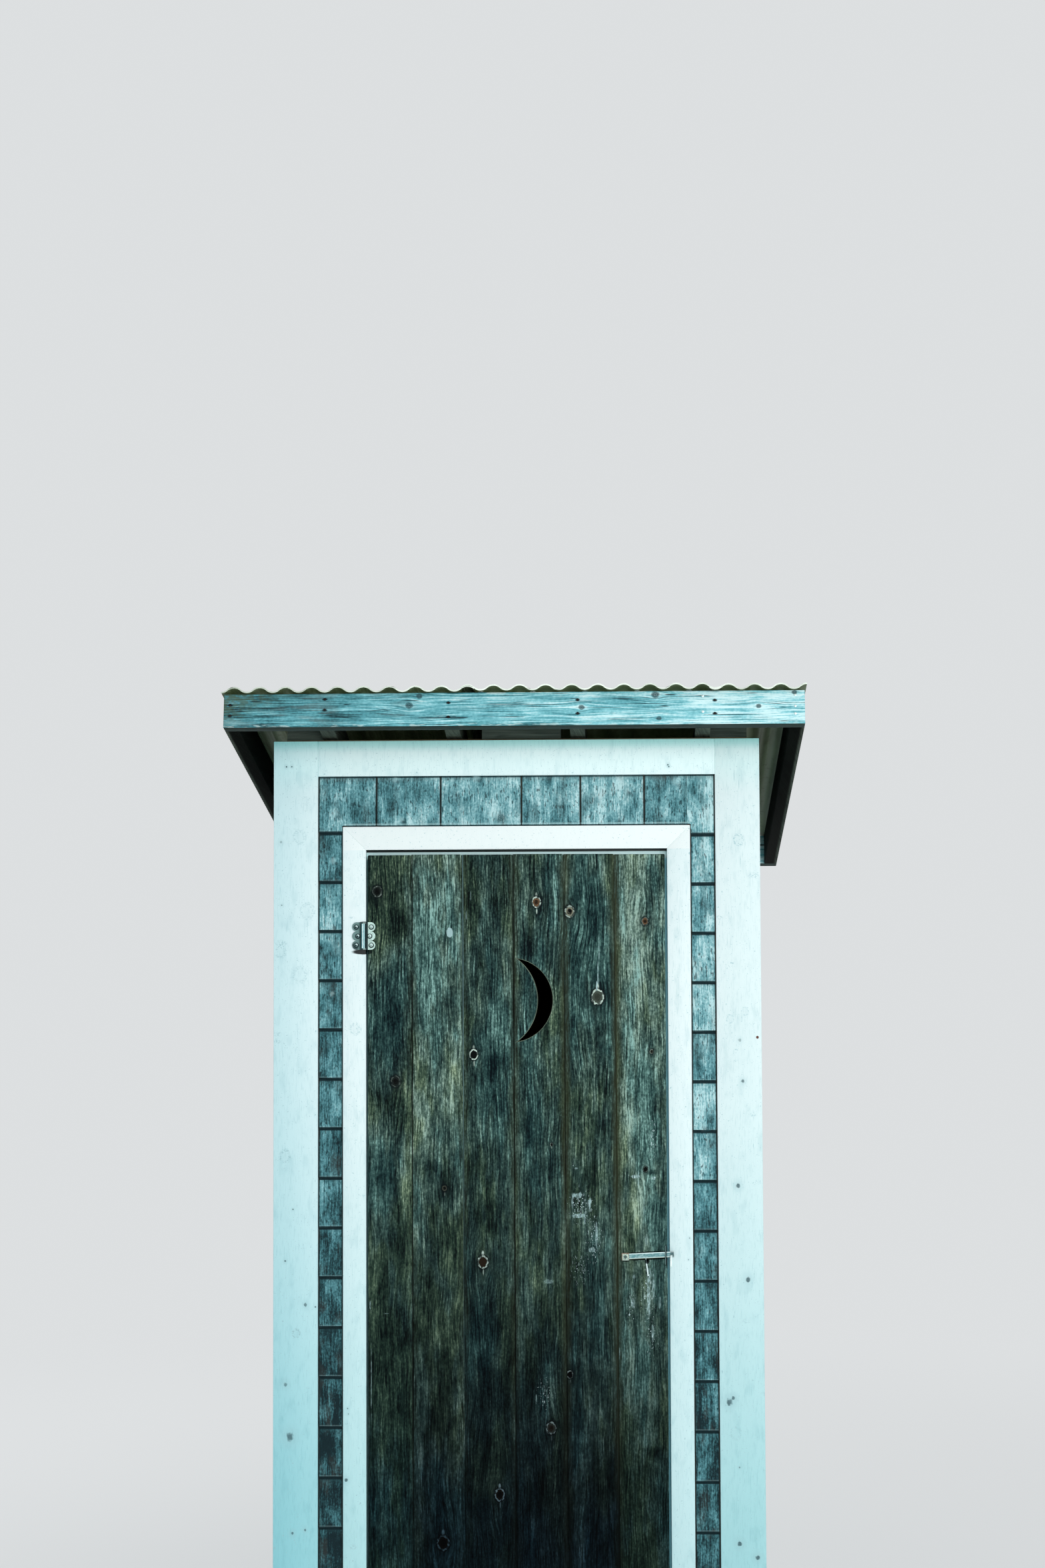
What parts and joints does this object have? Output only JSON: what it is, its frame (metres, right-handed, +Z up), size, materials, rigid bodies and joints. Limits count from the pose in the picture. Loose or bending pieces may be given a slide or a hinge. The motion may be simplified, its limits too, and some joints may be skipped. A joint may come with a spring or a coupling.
{
  "type": "wooden outhouse",
  "caption": "Small shingled outhouse on skids with a board door that swings, a crescent cut-out, a lift latch, painted trim and a sloping corrugated roof.",
  "frame": {"origin": "on the ground, under the middle of the roof's outline", "axes": "+Z up, the door faces -Y, +X to the right seen from the front"},
  "size_m": [1.494, 1.7386, 2.5686],
  "materials": {
    "painted_trim": "thin, weathered pale paint with knots and nail stains showing through",
    "shingles": "split-faced shingles weathered grey and brown",
    "door_boards": "dark weathered boards with knots and paint traces",
    "bare_wood": "bare sawn lumber, aged",
    "sheathing": "bare panels",
    "fascia": "bare board weathered blue-grey, checked",
    "weathered_timber": "weathered grey",
    "roof_sheet": "translucent corrugated plastic, dulled by weather",
    "galvanised": "galvanised, dulled, rust at the edges",
    "rusty_steel": "rusted"
  },
  "bodies": {
    "building": {"back_studs": "bare_wood", "corner_boards_back": "painted_trim", "corner_boards_front": "painted_trim", "corner_boards_side": "painted_trim", "door_casing_head": "painted_trim", "door_casing_sides": "painted_trim", "door_head_jamb": "painted_trim", "door_head_stop": "painted_trim", "door_header": "bare_wood", "door_jambs": "painted_trim", "door_side_stops": "painted_trim", "door_sill": "weathered_timber", "eave_blocks": "bare_wood", "fascia_front": "fascia", "fascia_rear": "fascia", "floor_deck": "bare_wood", "floor_joists": "bare_wood", "floor_rims": "bare_wood", "frieze_back": "painted_trim", "frieze_front": "painted_trim", "friezes_side": "painted_trim", "front_studs": "bare_wood", "hinge_frame_leaves": "galvanised", "latch_strike": "rusty_steel", "rafters": "bare_wood", "rake_boards": "fascia", "roof_sheet_middle": "roof_sheet", "roof_sheets_outer": "roof_sheet", "sheathing_back": "sheathing", "sheathing_door_bay": "sheathing", "sheathing_front_sides": "sheathing", "sheathing_left": "sheathing", "sheathing_right": "sheathing", "shingles_back": "shingles", "shingles_door_bay": "shingles", "shingles_front_sides": "shingles", "shingles_left": "shingles", "shingles_right": "shingles", "side_studs": "bare_wood", "skids": "weathered_timber", "sole_plates_cross": "bare_wood", "sole_plates_side": "bare_wood", "top_plates_cross": "bare_wood", "top_plates_side": "bare_wood"},
    "door": {"door_boards": "door_boards", "door_ledges": "bare_wood", "door_braces": "bare_wood", "hinge_door_leaves": "galvanised", "latch_plate": "galvanised", "latch_keeper": "galvanised"},
    "latch": {"latch_bar": "galvanised"}
  },
  "joints": [
    {"name": "door_hinge", "type": "hinge", "parent": "building", "child": "door", "pos_m": [-0.3955, -0.7199, 1.10325], "axis": [0, 0, -1], "range_deg": [0, 110]},
    {"name": "latch_lift", "type": "hinge", "parent": "door", "child": "latch", "pos_m": [0.2765, -0.7201, 1.1085], "axis": [0, -1, 0], "range_deg": [0, 5.5]}
  ]
}
